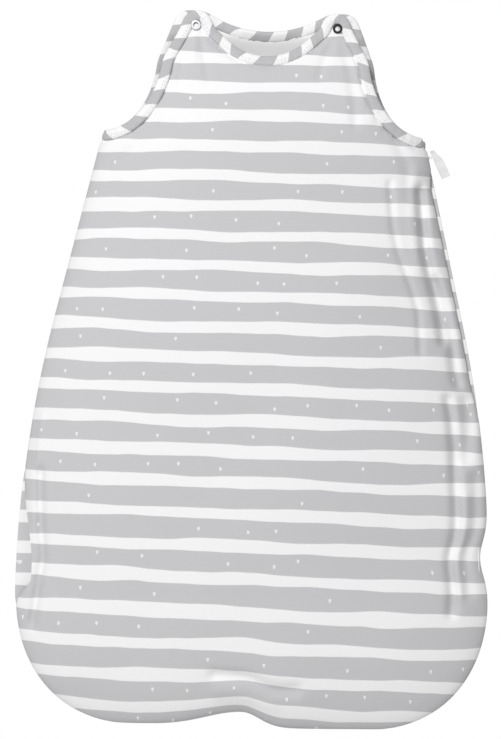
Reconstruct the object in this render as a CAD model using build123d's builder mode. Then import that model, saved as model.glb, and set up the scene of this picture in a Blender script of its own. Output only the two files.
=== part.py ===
"""Baby sleeping bag: a sleeveless quilted bag with snap shoulders and a side zip.

Frame: millimetres, +Z up as the bag hangs from its shoulders, +X to the wearer's left, the
front panel faces -Y. The origin is at the middle of the box's base.
"""

from build123d import *
from math import atan, cos, degrees, hypot, pi, radians, sin, sqrt, tan
import os

# ---- overall shape ----
ARMPIT_Z = 577.0          # height of the armpit, where the side seam starts
ARMPIT_HALF_WIDTH = 158.0
SIDE_FLARE = 13.2         # degrees that the straight part of the side seam leans outwards
STRAIGHT_END_Z = 400.0    # the side seam is straight from the armpit down to here
CORNER_TOP_Z = 130.0      # the bottom corners start here, where the bag is widest
BASE_HALF_WIDTH = 110.0   # the bottom edge is straight this far each side
CORNER_POWER = 2.2        # superellipse power of the bottom corners
MAX_HALF_DEPTH = 41.0
CORNER_HALF_DEPTH = 34.0
BASE_HALF_DEPTH = 3.0
ARMPIT_HALF_DEPTH = 36.0
STRAP_HALF_DEPTH = 6.4
STRAP_FLAT_Z = 676.0      # above this the front and back straps lie flat on each other
TOP_Z = 704.0

# ---- layers of the quilted panels ----
SHELL_FABRIC = 1.0
WADDING = 3.6
LINING = 0.9
LAYER_GAP = 0.3           # the layers lie loosely on each other
PANEL = SHELL_FABRIC + LAYER_GAP + WADDING + LAYER_GAP + LINING
BINDING_PROUD = 0.8       # a binding stands this far proud of the panel on each face
BINDING_WIDTH = 10.0
BINDING_GAP = 0.2
QUILT_MARGIN = BINDING_WIDTH + BINDING_GAP
SEAM_GAP = 0.15           # half the gap between the front and the back
CAVITY_TOP_Z = 673.0

# ---- neck and armholes, seen from the front ----
FRONT_NECK_RADIUS = 55.5
FRONT_NECK_LOW_Z = 654.0
BACK_NECK_RADIUS = 110.0
BACK_NECK_LOW_Z = 680.0
ARMHOLE_HALF_WIDTH = 58.0
ARMHOLE_HALF_HEIGHT = 83.0
ARMHOLE_Z = 662.0
FRONT_ARMHOLE_X = 159.0
BACK_ARMHOLE_X = 165.0
SHOULDER_LINE_Z = 650.0   # above this the armhole edge runs straight to the strap's tip
SHOULDER_EDGE_TOP_Z = 690.0
BAND_LOW_Z = ARMPIT_Z - 20   # nothing below this is part of a binding

# ---- shoulder straps and their ring snaps ----
TAB_FOLD_Z = 670.0        # a front tab folds forward about a line at this height
TAB_GAP = 0.15
BACK_PANEL_TOP_Z = 672.0
SNAP_X = 69.0
SNAP_Z = 684.0
FRONT_TIP_RADIUS = 15.0
BACK_TIP_X = 74.0
BACK_TIP_Z = 681.0
BACK_TIP_RADIUS = 18.0
STRAP_ROOT_Z = 640.0
STRAP_ROOT_OUT = 18.0     # a strap widens outwards and inwards by these down to its root
STRAP_ROOT_IN = 47.0
SNAP_RING_RADIUS = 4.75
SNAP_RING_HOLE = 2.7
SNAP_METAL = 0.8
SNAP_PRONGS = 5
PRONG_CIRCLE = 3.7
PRONG_RADIUS = 0.35
SOCKET_RADIUS = 4.6
SOCKET_BORE = 2.8
SOCKET_DEPTH = 2.3
STUD_RADIUS = 2.1
STUD_HEIGHT = 2.0
SNAP_RECESS = 0.3         # the snap's faces sit this far off the middle plane
SNAP_CLEARANCE = 0.2
PRONG_CLEARANCE = 0.1
RING_SEAT = 0.5           # a ring is pressed this far into the strap's face
RING_NEAR = STRAP_HALF_DEPTH - RING_SEAT

# ---- side zip, placed by its depth below the seam's edge ----
SLIT_HALF_WIDTH = 1.2     # the shell fabric's two lips stand this far off the middle plane
SLIT_DEPTH = 7.0
SLIT_OUTSIDE = 6.0
CHANNEL_HALF_WIDTH = 8.4
CHANNEL_DEPTH = 18.0
TAPE_DEPTH = 10.4
TAPE_THICKNESS = 0.8
TAPE_EDGE = 6.5
TAPE_ROOT = 3.5
TOOTH_PITCH = 5.0
TOOTH_LENGTH = 3.0
TOOTH_THICKNESS = 2.2
TOOTH_TIP = 0.6
TOOTH_ROOT = 3.4
GUARD_DEPTH = 14.6
GUARD_THICKNESS = 0.8
GUARD_FRONT_REACH = 8.0
GUARD_BACK_REACH = 8.3    # the flap is sewn to the back's side of the channel
ZIP_TOP_Z = 568.0
ZIP_END_Z = 62.0          # the zip ends at this height, round the far bottom corner
END_DIRECTION = Vector(-0.45, 0.89)
TOOTH_ROW_MARGIN = 6.0    # the row of teeth starts this far from the tape's end
STOP_SETBACK = (1.1, -1.7)
STOP_SIZE = (2.0, 3.0)
STOP_LEAN = 27.0

SLIDER_Z = 561.0
SLIDER_LENGTH = 12.0
SLIDER_HALF_WIDTH = 4.6
BLADE_THICKNESS = 1.1
BLADE_CLEARANCE = 0.35
DIVIDER_HALF_WIDTH = 0.35
LUG_LENGTH = 3.2
LUG_INNER = 1.1
LUG_OUTER = 2.1
LUG_TOP = 1.2             # a lug stands this far past the pin's axis
PIN_HEIGHT = 2.4          # the pull's pin above the slider's outer blade
PIN_RADIUS = 0.6
PULL_HALF_THICKNESS = 0.7
PULL_HALF_WIDTH = 1.3
PULL_EYE_RADIUS = 1.9
PULL_EYE_HOLE = 0.75
PULL_REACH = 9.5          # from the pin out through the slit
RIBBON_LENGTH = 30.0
RIBBON_WIDTH = 9.0
RIBBON_HALF_THICKNESS = 0.5
RIBBON_LEAN = 11.0        # degrees off the seam's direction

REACH = 300.0             # larger than the bag, for cutting solids
BEYOND = 20.0             # a cut runs this far past the bag's top and bottom
THINNEST_SECTION = 1.2    # half depth below which a section is left out of a form
SECTION_HEIGHTS = [0, 2.5, 12, 36, 80, 130, 220, 320, 400, 490, 577, 625, 655, 673, 685, TOP_Z]


def half_width(z):
    """Half the bag's width at a height, as a flat pattern would have it."""
    flare = tan(radians(SIDE_FLARE))
    straight = ARMPIT_HALF_WIDTH + (ARMPIT_Z - max(z, STRAIGHT_END_Z)) * flare
    if z >= ARMPIT_Z:
        return ARMPIT_HALF_WIDTH
    if z >= STRAIGHT_END_Z:
        return straight
    bend = STRAIGHT_END_Z - CORNER_TOP_Z
    down = min(STRAIGHT_END_Z - z, bend)
    widest = straight + flare * (down - down**2 / (2 * bend))
    if z >= CORNER_TOP_Z:
        return widest
    drop = (CORNER_TOP_Z - z) / CORNER_TOP_Z
    corner = (1 - drop**CORNER_POWER) ** (1 / CORNER_POWER) if drop < 1 else 0
    return BASE_HALF_WIDTH + (widest - BASE_HALF_WIDTH) * corner


def half_depth(z):
    """Half the bag's depth at a height."""
    if z < CORNER_TOP_Z:
        drop = (CORNER_TOP_Z - z) / CORNER_TOP_Z
        return BASE_HALF_DEPTH + (CORNER_HALF_DEPTH - BASE_HALF_DEPTH) * sqrt(1 - drop**2)
    if z < STRAIGHT_END_Z:
        rise = (z - CORNER_TOP_Z) / (STRAIGHT_END_Z - CORNER_TOP_Z)
        return CORNER_HALF_DEPTH + (MAX_HALF_DEPTH - CORNER_HALF_DEPTH) * sin(rise * pi / 2)
    if z < ARMPIT_Z:
        rise = (z - STRAIGHT_END_Z) / (ARMPIT_Z - STRAIGHT_END_Z)
        return MAX_HALF_DEPTH - (MAX_HALF_DEPTH - ARMPIT_HALF_DEPTH) * rise**2
    rise = min((z - ARMPIT_Z) / (STRAP_FLAT_Z - ARMPIT_Z), 1)
    fall = rise**1.5
    return ARMPIT_HALF_DEPTH - (ARMPIT_HALF_DEPTH - STRAP_HALF_DEPTH) * fall


def pillow(inset, top=TOP_Z):
    """The bag's closed outer form, moved inwards by a layer depth."""
    with BuildPart() as form:
        for z in SECTION_HEIGHTS:
            depth = half_depth(z) - inset
            if z <= top and depth > THINNEST_SECTION:
                lift = inset * max(1 - z / CORNER_TOP_Z, 0)
                with BuildSketch(Plane.XY.offset(z + lift)):
                    Ellipse(depth, half_width(z) - inset, rotation=90)
        loft(ruled=True)
    return form.part


OUTER_FORM = pillow(0)
SHELL_INSIDE = pillow(SHELL_FABRIC, CAVITY_TOP_Z)
WADDING_FORM = pillow(SHELL_FABRIC + LAYER_GAP, CAVITY_TOP_Z)
WADDING_INSIDE = pillow(SHELL_FABRIC + LAYER_GAP + WADDING, CAVITY_TOP_Z)
LINING_FORM = pillow(PANEL - LINING, CAVITY_TOP_Z)
CAVITY_FORM = pillow(PANEL, CAVITY_TOP_Z)
BINDING_FORM = pillow(-BINDING_PROUD)
BINDING_CAVITY_FORM = pillow(PANEL + BINDING_PROUD, CAVITY_TOP_Z)


# ---- flat outlines, drawn as seen from the front ----

def armhole(side, centre_x, tip_x, margin):
    """Cuts an armhole, grown by a margin, from the sketch in progress."""
    shoulder_x = centre_x - ARMHOLE_HALF_WIDTH - margin
    with Locations((side * centre_x, ARMHOLE_Z)):
        Ellipse(ARMHOLE_HALF_WIDTH + margin, ARMHOLE_HALF_HEIGHT + margin, mode=Mode.SUBTRACT)
    Polygon(
        (side * shoulder_x, SHOULDER_LINE_Z),
        (side * (tip_x - margin), SHOULDER_EDGE_TOP_Z),
        (side * (tip_x - margin), TOP_Z + BEYOND),
        (side * REACH, TOP_Z + BEYOND),
        (side * REACH, SHOULDER_LINE_Z),
        align=None,
        mode=Mode.SUBTRACT,
    )


def neck(radius, low_z, margin):
    """Cuts the neck opening, grown by a margin, from the sketch in progress."""
    with Locations((0, low_z + radius)):
        Circle(radius + margin, mode=Mode.SUBTRACT)


def openings(front, margin):
    """Cuts the neck and both armholes of the front or the back."""
    if front:
        neck(FRONT_NECK_RADIUS, FRONT_NECK_LOW_Z, margin)
    else:
        neck(BACK_NECK_RADIUS, BACK_NECK_LOW_Z, margin)
    centre_x = FRONT_ARMHOLE_X if front else BACK_ARMHOLE_X
    tip_x = SNAP_X + FRONT_TIP_RADIUS if front else BACK_TIP_X + BACK_TIP_RADIUS
    for side in (-1, 1):
        armhole(side, centre_x, tip_x, margin)


def hinge_x(z):
    """The front panel folds about the straight line between the ends of the -X side seam."""
    slope = (half_width(CORNER_TOP_Z) - ARMPIT_HALF_WIDTH) / (ARMPIT_Z - CORNER_TOP_Z)
    return -ARMPIT_HALF_WIDTH - (ARMPIT_Z - z) * slope


def right_of_fold(gap, low, high):
    """Area on the +X side of the fold line, between two heights."""
    Polygon(
        (hinge_x(low) + gap, low),
        (REACH, low),
        (REACH, high),
        (hinge_x(high) + gap, high),
        align=None,
    )


def strap_outline(side, x, z, radius, margin):
    """A shoulder strap's rounded tip and its root, before the openings are cut from it."""
    tip = radius - margin
    with Locations((side * x, z)):
        Circle(tip)
    Polygon(
        (side * (x - tip), z),
        (side * (x + tip), z),
        (side * (x + tip + STRAP_ROOT_OUT), STRAP_ROOT_Z),
        (side * (x - tip - STRAP_ROOT_IN), STRAP_ROOT_Z),
        align=None,
    )


def below(z):
    """Removes everything below a height from the sketch in progress."""
    with Locations((0, z - REACH)):
        Rectangle(2 * REACH, 2 * REACH, mode=Mode.SUBTRACT)


def panel_area(front, margin, top_z):
    """The main panel below its straps."""
    with BuildSketch() as area:
        if front:
            right_of_fold(SEAM_GAP, -BEYOND, top_z)
        else:
            with Locations((0, (top_z - BEYOND) / 2)):
                Rectangle(2 * REACH, top_z + BEYOND)
        openings(front, margin)
    return area.sketch


def strap_area(front, side, margin, low_z):
    """A front tab or a back strap above a height, inside its binding by a margin."""
    x = SNAP_X if front else BACK_TIP_X
    z = SNAP_Z if front else BACK_TIP_Z
    radius = FRONT_TIP_RADIUS if front else BACK_TIP_RADIUS
    with BuildSketch() as area:
        strap_outline(side, x, z, radius, margin)
        openings(front, margin)
        below(low_z)
    return area.sketch


def edge_area(front, margin, low_z, high_z):
    """The panel and its straps, inside their free edges by a margin."""
    with BuildSketch() as area:
        if front:
            right_of_fold(SEAM_GAP, low_z, high_z)
        else:
            with Locations((0, (low_z + high_z) / 2)):
                Rectangle(2 * REACH, high_z - low_z)
            with Locations((0, high_z)):
                Rectangle(2 * (BACK_TIP_X - BACK_TIP_RADIUS), 3 * BEYOND)
            for side in (-1, 1):
                strap_outline(side, BACK_TIP_X, BACK_TIP_Z, BACK_TIP_RADIUS, margin)
        openings(front, margin)
    return area.sketch


def binding_area(front, where, side):
    """A band along an opening's edge: the panel less the panel inside its bindings."""
    high_z = TAB_FOLD_Z - TAB_GAP if front else BACK_PANEL_TOP_Z
    split_x = SNAP_X if front else BACK_TIP_X
    with BuildSketch() as band:
        add(edge_area(front, 0, ARMPIT_Z - 2 * BEYOND, high_z))
        add(edge_area(front, BINDING_WIDTH, ARMPIT_Z - 3 * BEYOND, high_z), mode=Mode.SUBTRACT)
        if front:
            with Locations((0, BAND_LOW_Z - REACH)):
                Rectangle(2 * REACH, 2 * REACH, mode=Mode.SUBTRACT)
        if where == "neck":
            Rectangle(2 * split_x - 2 * BINDING_GAP, 3 * TOP_Z, mode=Mode.INTERSECT)
        else:
            with Locations((side * (split_x + REACH), 0)):
                Rectangle(2 * REACH, 3 * TOP_Z, mode=Mode.INTERSECT)
    return band.sketch


def front_block(area, near=SEAM_GAP, far=REACH):
    """A flat outline given depth in front of the middle plane."""
    with BuildPart() as block:
        with BuildSketch(Plane.XZ.offset(near)):
            add(area)
        extrude(amount=far - near)
    return block.part


def back_block(area, near=SEAM_GAP, far=REACH):
    """A flat outline given depth behind the middle plane."""
    with BuildPart() as block:
        with BuildSketch(Plane.XZ.offset(-far)):
            add(area)
        extrude(amount=far - near)
    return block.part


# ---- the line of the side zip ----

def seam_edge():
    """Points along the zip's edge: down the +X side, along the bottom, up the -X corner."""
    heights = [ZIP_TOP_Z + 4, 500, STRAIGHT_END_Z, 350, 300, 250, 200, 160, 130, 100, 75, 52, 34]
    side = [(half_width(z), z) for z in heights + [20, 10, 3.5]]
    bottom = [(BASE_HALF_WIDTH * step / 4, 0) for step in range(4, -5, -1)]
    corner = [(-half_width(z), z) for z in [3.5, 10, 20, 34, ZIP_END_Z]]
    return side + bottom + corner


def inside_edge(depth, start=0, stop=None):
    """The zip's edge moved into the bag by a depth."""
    points = seam_edge()
    moved = []
    for i, (x, z) in enumerate(points):
        before = points[max(i - 1, 0)]
        after = points[min(i + 1, len(points) - 1)]
        if i <= 1:
            before, after = points[0], points[1]
        along_x, along_z = after[0] - before[0], after[1] - before[1]
        length = hypot(along_x, along_z)
        moved.append((x + depth * along_z / length, z - depth * along_x / length))
    return moved[start:stop]


def zip_band(outer_depth, inner_depth):
    """A band between two depths along the whole zip."""
    outer = inside_edge(outer_depth)
    inner = inside_edge(inner_depth)
    with BuildSketch() as band:
        with BuildLine():
            side = Line(outer[0], outer[2])
            Spline(outer[2:], tangents=[side % 1, END_DIRECTION], tangent_scalars=[1, 1])
            Line(outer[-1], inner[-1])
            back = Line(inner[0], inner[2])
            Spline(inner[2:], tangents=[back % 1, END_DIRECTION], tangent_scalars=[1, 1])
            Line(inner[0], outer[0])
        make_face()
    return band.sketch


def tooth_row(first_offset):
    """Teeth spaced along the zip, each standing across the tape's edge."""
    points = inside_edge(TAPE_DEPTH)
    with BuildLine(mode=Mode.PRIVATE) as path:
        side = Line(points[0], points[2])
        Spline(points[2:], tangents=[side % 1, END_DIRECTION], tangent_scalars=[1, 1])
    wire = path.wire()
    count = int((wire.length - 2 * TOOTH_ROW_MARGIN) / TOOTH_PITCH - 0.8)
    with BuildSketch() as row:
        for i in range(count):
            share = (TOOTH_ROW_MARGIN + first_offset + i * TOOTH_PITCH) / wire.length
            at = wire @ share
            along = wire % share
            turn = degrees(atan(along.Y / along.X)) if abs(along.X) > 1e-6 else 90
            with Locations(Location((at.X, at.Y, 0), (0, 0, turn))):
                Rectangle(TOOTH_LENGTH, TOOTH_THICKNESS)
    return row.sketch


FLARE_SIN = sin(radians(SIDE_FLARE))
FLARE_COS = cos(radians(SIDE_FLARE))


def slider_point(along, depth):
    """A point near the slider: along is down the seam, depth is into the bag."""
    x = half_width(SLIDER_Z) + along * FLARE_SIN - depth * FLARE_COS
    z = SLIDER_Z - along * FLARE_COS - depth * FLARE_SIN
    return (x, z)


def slider_strip(along_from, along_to, depth_from, depth_to):
    """A rectangle in the slider's own directions, in the sketch in progress."""
    Polygon(
        slider_point(along_from, depth_from),
        slider_point(along_to, depth_from),
        slider_point(along_to, depth_to),
        slider_point(along_from, depth_to),
        align=None,
    )


ZIP_SLIT = zip_band(-SLIT_OUTSIDE, SLIT_DEPTH)
ZIP_CHANNEL = zip_band(-SLIT_OUTSIDE, CHANNEL_DEPTH)

finished = []


def finish(part, name):
    """Labels a piece and keeps it for writing."""
    part.label = name
    finished.append((name, part))


# ---- quilted panels ----

SLIVER_TOP = ARMPIT_Z - 0.5
with BuildSketch() as sliver_area:
    Polygon(
        (hinge_x(SLIVER_TOP) - SEAM_GAP, SLIVER_TOP),
        (-REACH, SLIVER_TOP),
        (-REACH, CORNER_TOP_Z),
        (hinge_x(CORNER_TOP_Z) - SEAM_GAP, CORNER_TOP_Z),
        align=None,
    )

FRONT_SPACE = front_block(panel_area(True, QUILT_MARGIN, TAB_FOLD_Z - TAB_GAP))
BACK_SPACE = back_block(panel_area(False, QUILT_MARGIN, BACK_PANEL_TOP_Z))
SLIVER_SPACE = front_block(sliver_area.sketch, near=-1)

LAYERS = [
    ("outer_panel", OUTER_FORM, SHELL_INSIDE, ZIP_SLIT, SLIT_HALF_WIDTH),
    ("wadding", WADDING_FORM, WADDING_INSIDE, ZIP_CHANNEL, CHANNEL_HALF_WIDTH),
    ("lining", LINING_FORM, CAVITY_FORM, ZIP_CHANNEL, CHANNEL_HALF_WIDTH),
]


def strap(front, side, margin, low_z):
    """A strap with all its layers, inside its binding by a margin."""
    area = strap_area(front, side, margin, low_z)
    with BuildPart() as layers:
        add(OUTER_FORM)
        add(front_block(area) if front else back_block(area), mode=Mode.INTERSECT)
        add(CAVITY_FORM, mode=Mode.SUBTRACT)
    return layers.part


def snap_seat(side, near, far, radius):
    """A round space about a snap's axis, between two distances behind the middle plane."""
    with BuildPart() as seat:
        with BuildSketch(Plane.XZ.offset(-far)):
            with Locations((side * SNAP_X, SNAP_Z)):
                Circle(radius)
        extrude(amount=far - near)
    return seat.part


def snap_ring(side, near, far, radius, hole):
    """A flat ring about a snap's axis."""
    with BuildPart() as ring:
        with BuildSketch(Plane.XZ.offset(-far)):
            with Locations((side * SNAP_X, SNAP_Z)):
                Circle(radius)
                Circle(hole, mode=Mode.SUBTRACT)
        extrude(amount=far - near)
    return ring.part


def snap_prongs(side, near, far, radius):
    """The prongs that pierce the fabric, evenly round a snap's axis."""
    with BuildPart() as prongs:
        with BuildSketch(Plane.XZ.offset(-far)):
            with Locations((side * SNAP_X, SNAP_Z)):
                with PolarLocations(PRONG_CIRCLE, SNAP_PRONGS):
                    Circle(radius)
        extrude(amount=far - near)
    return prongs.part


def snap_space(side, front):
    """The room a snap's parts take in the cloth of a front tab or a back strap."""
    half = SOCKET_DEPTH if front else SNAP_METAL
    depths = [(0, SNAP_RECESS + half), (RING_NEAR, RING_NEAR + 2 * SNAP_METAL)]
    radii = [SOCKET_RADIUS + SNAP_CLEARANCE, SNAP_RING_RADIUS + SNAP_CLEARANCE]
    with BuildPart() as room:
        for (near, far), radius in zip(depths, radii):
            ends = (-far, -near) if front else (near, far)
            add(snap_seat(side, *ends, radius))
        ends = (-STRAP_HALF_DEPTH, 0) if front else (0, STRAP_HALF_DEPTH)
        add(snap_prongs(side, *ends, PRONG_RADIUS + PRONG_CLEARANCE))
    return room.part


def layer_within(space, outside, inside, cut, cut_half_width):
    """One layer of a quilted panel: between two forms, in a space, cut back along the zip."""
    with BuildPart() as sheet:
        add(outside)
        add(space, mode=Mode.INTERSECT)
        add(inside, mode=Mode.SUBTRACT)
        with BuildSketch(Plane.XZ.offset(-cut_half_width)):
            add(cut)
        extrude(amount=2 * cut_half_width, mode=Mode.SUBTRACT)
    return sheet.part


for layer, *shape in LAYERS:
    finish(layer_within(FRONT_SPACE, *shape), f"front_{layer}")
    with BuildPart() as back:
        add(layer_within(BACK_SPACE, *shape))
        add(layer_within(SLIVER_SPACE, *shape))
        if layer == "outer_panel":
            for side in (-1, 1):
                add(strap(False, side, QUILT_MARGIN, BACK_PANEL_TOP_Z))
                add(snap_space(side, False), mode=Mode.SUBTRACT)
    finish(back.part, f"back_{layer}")

# ---- bindings of the neck and armholes ----


def binding(front, where, side):
    """A fabric band folded over the raw edge of the front or the back."""
    area = binding_area(front, where, side)
    with BuildPart() as band:
        add(BINDING_FORM)
        add(front_block(area) if front else back_block(area), mode=Mode.INTERSECT)
        add(BINDING_CAVITY_FORM, mode=Mode.SUBTRACT)
        if not front:
            for snap_side in (-1, 1):
                add(snap_space(snap_side, front), mode=Mode.SUBTRACT)
    return band.part


SIDES = (("left", 1), ("right", -1))   # the wearer's left is +X
for body in ("front", "back"):
    front = body == "front"
    finish(binding(front, "neck", 0), f"neck_binding_{body}")
    for word, side in SIDES:
        finish(binding(front, "arm", side), f"armhole_binding_{body}_{word}")

# ---- folding shoulder tabs of the front, with their snaps ----
TAB_LOW_Z = TAB_FOLD_Z + TAB_GAP
SOCKET_NEAR = SNAP_RECESS
SOCKET_FAR = SNAP_RECESS + SOCKET_DEPTH
for word, side in SIDES:
    with BuildPart() as tab:
        add(strap(True, side, QUILT_MARGIN, TAB_LOW_Z))
        add(snap_space(side, True), mode=Mode.SUBTRACT)
    finish(tab.part, f"shoulder_tab_{word}")

    with BuildPart() as tab_edge:
        add(BINDING_FORM)
        with BuildSketch() as tip:
            add(strap_area(True, side, 0, TAB_LOW_Z))
            add(strap_area(True, side, BINDING_WIDTH, TAB_LOW_Z - 1), mode=Mode.SUBTRACT)
        add(front_block(tip.sketch), mode=Mode.INTERSECT)
        add(BINDING_CAVITY_FORM, mode=Mode.SUBTRACT)
        add(snap_space(side, True), mode=Mode.SUBTRACT)
    finish(tab_edge.part, f"tab_binding_{word}")

    with BuildPart() as ring:
        add(snap_ring(side, -RING_NEAR - SNAP_METAL, -RING_NEAR,
                      SNAP_RING_RADIUS, SNAP_RING_HOLE))
        add(snap_prongs(side, -RING_NEAR, -SOCKET_FAR, PRONG_RADIUS))
        fillet(ring.edges().filter_by(GeomType.CIRCLE).group_by(SortBy.RADIUS)[-1]
               .sort_by(Axis.Y)[0], SNAP_METAL / 2)
    finish(ring.part, f"snap_ring_{word}")

    with BuildPart() as socket:
        add(snap_ring(side, -SOCKET_FAR, -SOCKET_NEAR, SOCKET_RADIUS, SOCKET_BORE))
    finish(socket.part, f"snap_socket_{word}")

    with BuildPart() as stud:
        add(snap_seat(side, SNAP_RECESS, SNAP_RECESS + SNAP_METAL, SOCKET_RADIUS))
        add(snap_seat(side, SNAP_RECESS - STUD_HEIGHT, SNAP_RECESS, STUD_RADIUS))
    finish(stud.part, f"snap_stud_{word}")

    with BuildPart() as back_ring:
        add(snap_ring(side, RING_NEAR, RING_NEAR + SNAP_METAL,
                      SNAP_RING_RADIUS, SNAP_RING_HOLE))
        add(snap_prongs(side, SNAP_RECESS + SNAP_METAL, RING_NEAR, PRONG_RADIUS))
    finish(back_ring.part, f"snap_back_ring_{word}")

# ---- zip: tapes, teeth, stops and the flap behind it ----


def zip_layer(area, near, far):
    """A flat zip outline given a width across the zip; near and far are measured backwards."""
    with BuildPart() as layer:
        with BuildSketch(Plane.XZ.offset(-far)):
            add(area)
        extrude(amount=far - near)
    return layer.part


TAPE_BAND = zip_band(TAPE_DEPTH - TAPE_THICKNESS / 2, TAPE_DEPTH + TAPE_THICKNESS / 2)
finish(zip_layer(TAPE_BAND, -TAPE_EDGE, -TAPE_ROOT), "zip_tape_front")
finish(zip_layer(TAPE_BAND, TAPE_ROOT, TAPE_EDGE), "zip_tape_back")
finish(zip_layer(tooth_row(0), -TOOTH_ROOT, -TOOTH_TIP), "zip_teeth_front")
finish(zip_layer(tooth_row(TOOTH_PITCH / 2), TOOTH_TIP, TOOTH_ROOT), "zip_teeth_back")
GUARD_BAND = zip_band(GUARD_DEPTH, GUARD_DEPTH + GUARD_THICKNESS)
finish(zip_layer(GUARD_BAND, -GUARD_FRONT_REACH, GUARD_BACK_REACH), "zip_guard")

# ---- zip slider, its pull and the ribbon on it ----
TOOTH_TOP = TAPE_DEPTH - TOOTH_THICKNESS / 2
TOOTH_BOTTOM = TAPE_DEPTH + TOOTH_THICKNESS / 2
OUTER_BLADE = TOOTH_TOP - BLADE_CLEARANCE
INNER_BLADE = TOOTH_BOTTOM + BLADE_CLEARANCE
PIN_DEPTH = OUTER_BLADE - BLADE_THICKNESS - PIN_HEIGHT
HALF_SLIDER = SLIDER_LENGTH / 2


def slider_bar(along_from, along_to, depth_from, depth_to, near, far):
    """A block of the slider, by its distances along, into and across the zip."""
    with BuildPart() as bar:
        with BuildSketch(Plane.XZ.offset(-far)):
            slider_strip(along_from, along_to, depth_from, depth_to)
        extrude(amount=far - near)
    return bar.part


with BuildPart() as slider:
    add(slider_bar(-HALF_SLIDER, HALF_SLIDER, OUTER_BLADE - BLADE_THICKNESS, OUTER_BLADE,
                   -SLIDER_HALF_WIDTH, SLIDER_HALF_WIDTH))
    add(slider_bar(-HALF_SLIDER, HALF_SLIDER, INNER_BLADE, INNER_BLADE + BLADE_THICKNESS,
                   -SLIDER_HALF_WIDTH, SLIDER_HALF_WIDTH))
    add(slider_bar(-HALF_SLIDER, 0, OUTER_BLADE, INNER_BLADE,
                   -DIVIDER_HALF_WIDTH, DIVIDER_HALF_WIDTH))
    for near, far in ((-LUG_OUTER, -LUG_INNER), (LUG_INNER, LUG_OUTER)):
        add(slider_bar(-LUG_LENGTH / 2, LUG_LENGTH / 2, PIN_DEPTH - LUG_TOP,
                       OUTER_BLADE - BLADE_THICKNESS, near, far))
    with BuildSketch(Plane.XZ.offset(-LUG_OUTER)):
        with Locations(slider_point(0, PIN_DEPTH)):
            Circle(PIN_RADIUS)
    extrude(amount=2 * LUG_OUTER)
finish(slider.part, "zip_slider_body")

with BuildPart() as pull:
    with BuildSketch(Plane.XZ.offset(-PULL_HALF_THICKNESS)):
        with Locations(slider_point(0, PIN_DEPTH)):
            Circle(PULL_EYE_RADIUS)
        slider_strip(-PULL_HALF_WIDTH, PULL_HALF_WIDTH, PIN_DEPTH - PULL_REACH, PIN_DEPTH)
        with Locations(slider_point(0, PIN_DEPTH)):
            Circle(PULL_EYE_HOLE, mode=Mode.SUBTRACT)
    extrude(amount=2 * PULL_HALF_THICKNESS)
finish(pull.part, "zip_pull_tab")

RIBBON_DEPTH = PIN_DEPTH - PULL_REACH - 0.1
RIBBON_ALONG = -RIBBON_WIDTH / 2
LEAN_SIN = sin(radians(RIBBON_LEAN))
LEAN_COS = cos(radians(RIBBON_LEAN))
ribbon_end_along = RIBBON_ALONG + RIBBON_LENGTH * LEAN_COS
ribbon_end_depth = RIBBON_DEPTH - RIBBON_LENGTH * LEAN_SIN
with BuildPart() as ribbon:
    with BuildSketch(Plane.XZ.offset(-RIBBON_HALF_THICKNESS)):
        Polygon(
            slider_point(RIBBON_ALONG, RIBBON_DEPTH),
            slider_point(RIBBON_ALONG + RIBBON_WIDTH * LEAN_SIN, RIBBON_DEPTH),
            slider_point(ribbon_end_along + RIBBON_WIDTH * LEAN_SIN, ribbon_end_depth),
            slider_point(ribbon_end_along, ribbon_end_depth - RIBBON_WIDTH * LEAN_COS),
            slider_point(RIBBON_ALONG, RIBBON_DEPTH - RIBBON_WIDTH * LEAN_COS),
            align=None,
        )
    extrude(amount=2 * RIBBON_HALF_THICKNESS)
finish(ribbon.part, "zip_pull_ribbon")

END_X, END_Z = inside_edge(TAPE_DEPTH)[-1]
with BuildPart() as bottom_stop:
    with BuildSketch(Plane.XZ.offset(-TOOTH_ROOT)):
        stop_x, stop_z = STOP_SETBACK
        with Locations(Location((END_X + stop_x, END_Z + stop_z, 0), (0, 0, STOP_LEAN))):
            Rectangle(*STOP_SIZE)
    extrude(amount=2 * TOOTH_ROOT)
finish(bottom_stop.part, "zip_bottom_stop")

os.makedirs("parts", exist_ok=True)
for name, piece in finished:
    export_step(piece, f"parts/{name}.step")
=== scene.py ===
"""Looks of the baby sleeping bag: quilted striped panels, bound edges, snaps and a side zip.

Lengths are in metres, in the CAD part's frame: +Z up, +X to the wearer's left, -Y the front.
"""

from math import asin, acos, cos, pi, radians, sin, tan

import bpy
import numpy as np
from mathutils import Matrix, Vector
from mathutils.geometry import delaunay_2d_cdt


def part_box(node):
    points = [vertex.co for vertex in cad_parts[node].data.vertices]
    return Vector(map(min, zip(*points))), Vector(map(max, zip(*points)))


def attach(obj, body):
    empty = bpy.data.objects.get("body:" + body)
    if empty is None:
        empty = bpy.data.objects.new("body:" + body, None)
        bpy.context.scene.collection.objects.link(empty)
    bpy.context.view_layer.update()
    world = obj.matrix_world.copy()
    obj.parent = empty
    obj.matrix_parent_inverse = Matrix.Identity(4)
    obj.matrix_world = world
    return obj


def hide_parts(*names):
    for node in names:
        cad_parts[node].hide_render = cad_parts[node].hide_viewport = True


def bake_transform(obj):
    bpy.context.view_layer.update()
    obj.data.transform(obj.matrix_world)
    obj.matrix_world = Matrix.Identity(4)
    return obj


MM = 0.001
FRONT, BACK = -1, 1

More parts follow.
